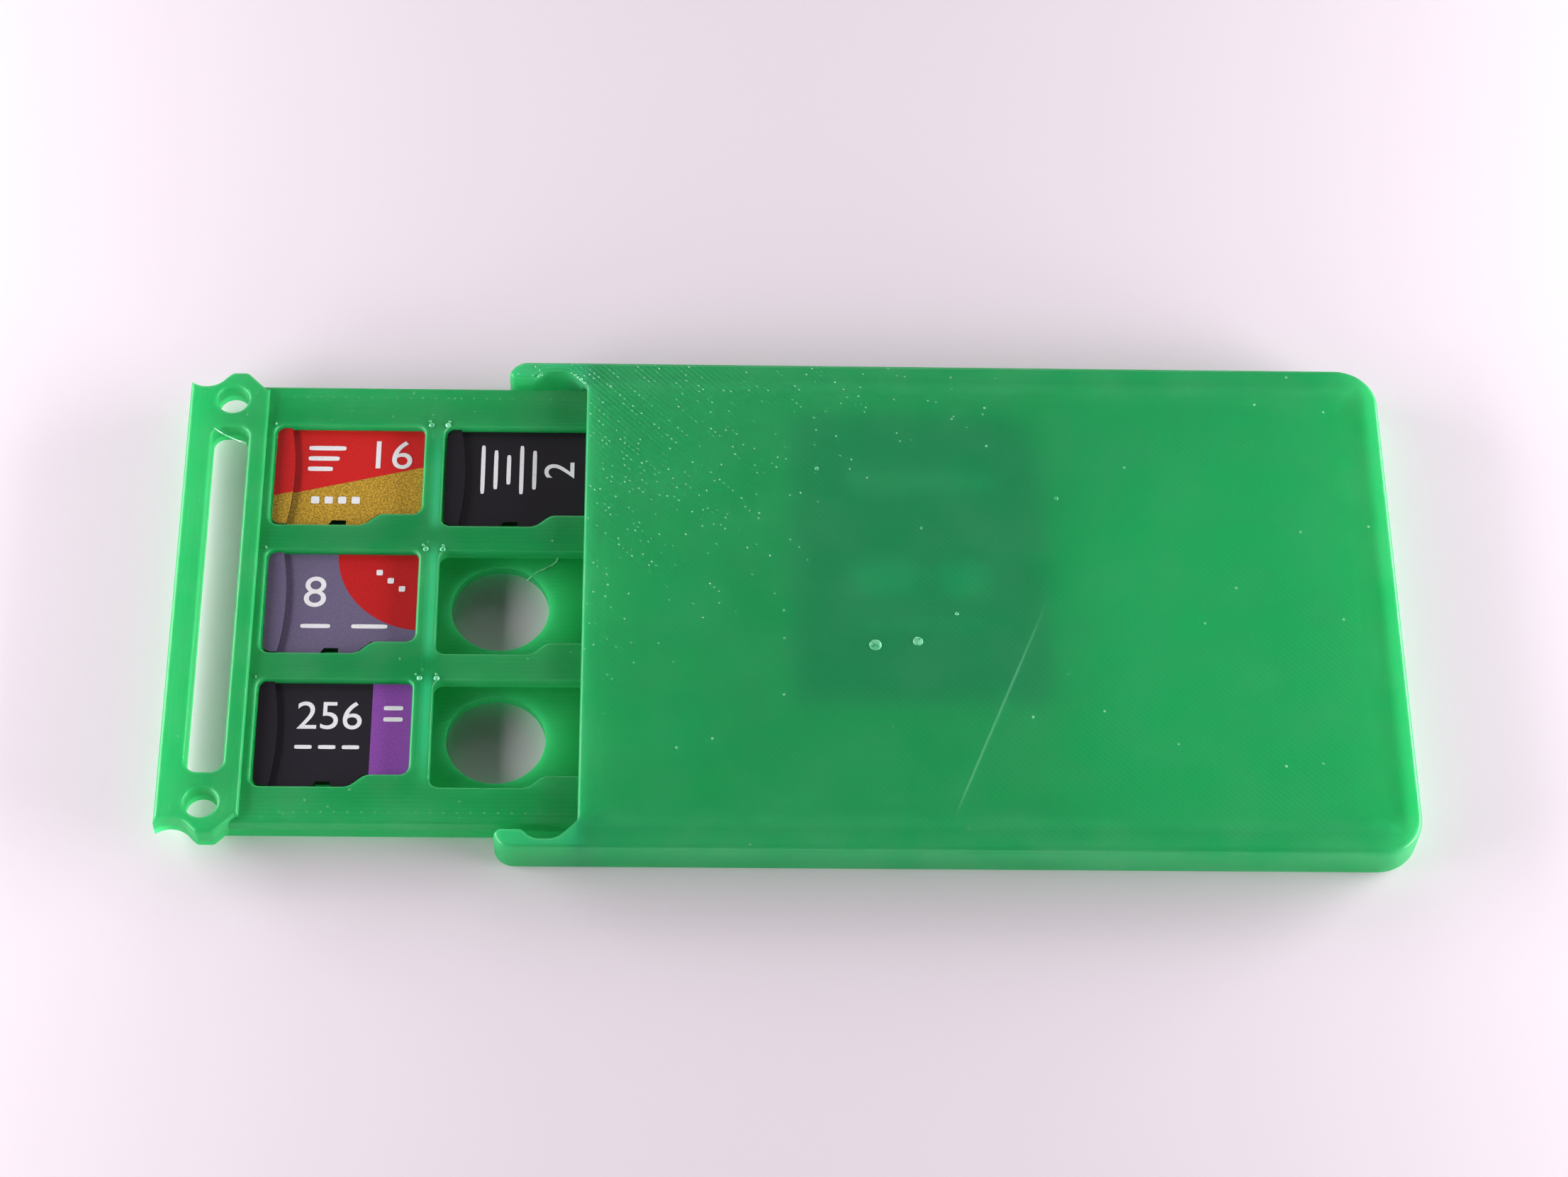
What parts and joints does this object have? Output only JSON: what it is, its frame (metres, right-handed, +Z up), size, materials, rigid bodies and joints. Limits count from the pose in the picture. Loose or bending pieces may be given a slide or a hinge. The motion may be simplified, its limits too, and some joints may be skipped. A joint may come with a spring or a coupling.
{
  "type": "memory card case",
  "caption": "Flat printed sleeve with a snap-in sliding tray whose stepped pockets hold small memory cards and a card adapter.",
  "frame": {"origin": "middle of the sleeve's flat underside", "axes": "+X along the slide towards the sleeve's closed end, +Y towards its rear side, +Z up out of the roof"},
  "size_m": [0.1166, 0.054, 0.0042],
  "materials": {
    "printed_green": "printed green plastic with fine layer lines, slightly see-through",
    "printed_tray": "printed green plastic with fine layer lines",
    "card_a_print": "moulded card printed red and gold",
    "card_b_print": "moulded card printed red and slate",
    "card_c_print": "moulded card printed purple and black",
    "card_d_print": "moulded black card with grey print",
    "gold_contacts": "thin gold plating",
    "adapter_black": "moulded black plastic",
    "lock_grey": "moulded light grey plastic"
  },
  "bodies": {
    "sleeve": {"sleeve": "printed_green"},
    "latch_rear": {"latch_arm_rear": "printed_green"},
    "latch_front": {"latch_arm_front": "printed_green"},
    "tray": {"tray": "printed_tray", "adapter_lower_shell": "adapter_black", "adapter_upper_shell": "adapter_black", "adapter_terminals": "gold_contacts"},
    "card_a": {"card_a_body": "card_a_print", "card_a_contacts": "gold_contacts"},
    "card_b": {"card_b_body": "card_b_print", "card_b_contacts": "gold_contacts"},
    "card_c": {"card_c_body": "card_c_print", "card_c_contacts": "gold_contacts"},
    "card_d": {"card_d_body": "card_d_print", "card_d_contacts": "gold_contacts"},
    "lock_slider": {"adapter_lock_slider": "lock_grey"}
  },
  "joints": [
    {"name": "tray_slide", "type": "slide", "parent": "sleeve", "child": "tray", "axis": [-1, 0, 0], "range_m": [-0.031, 0.035]},
    {"name": "latch_rear_flex", "type": "hinge", "parent": "sleeve", "child": "latch_rear", "pos_m": [-0.03895, 0.027, 0], "axis": [0, 0, -1], "range_deg": [0, 7], "stiffness_Nm_per_rad": 0.8},
    {"name": "latch_front_flex", "type": "hinge", "parent": "sleeve", "child": "latch_front", "pos_m": [-0.03895, -0.027, 0], "axis": [0, 0, 1], "range_deg": [0, 7], "stiffness_Nm_per_rad": 0.8},
    {"name": "card_a_tilt", "type": "hinge", "parent": "tray", "child": "card_a", "pos_m": [-0.05395, 0.01403, 0.0019], "axis": [0, 1, 0], "range_deg": [0, 10]},
    {"name": "card_b_tilt", "type": "hinge", "parent": "tray", "child": "card_b", "pos_m": [-0.05395, -0.00025, 0.0019], "axis": [0, 1, 0], "range_deg": [0, 10]},
    {"name": "card_c_tilt", "type": "hinge", "parent": "tray", "child": "card_c", "pos_m": [-0.05395, -0.01453, 0.0019], "axis": [0, 1, 0], "range_deg": [0, 10]},
    {"name": "card_d_tilt", "type": "hinge", "parent": "tray", "child": "card_d", "pos_m": [-0.03751, 0.01403, 0.0019], "axis": [0, 1, 0], "range_deg": [0, 10]},
    {"name": "lock_slide", "type": "slide", "parent": "tray", "child": "lock_slider", "axis": [0, -1, 0], "range_m": [0, 0.0033]}
  ]
}
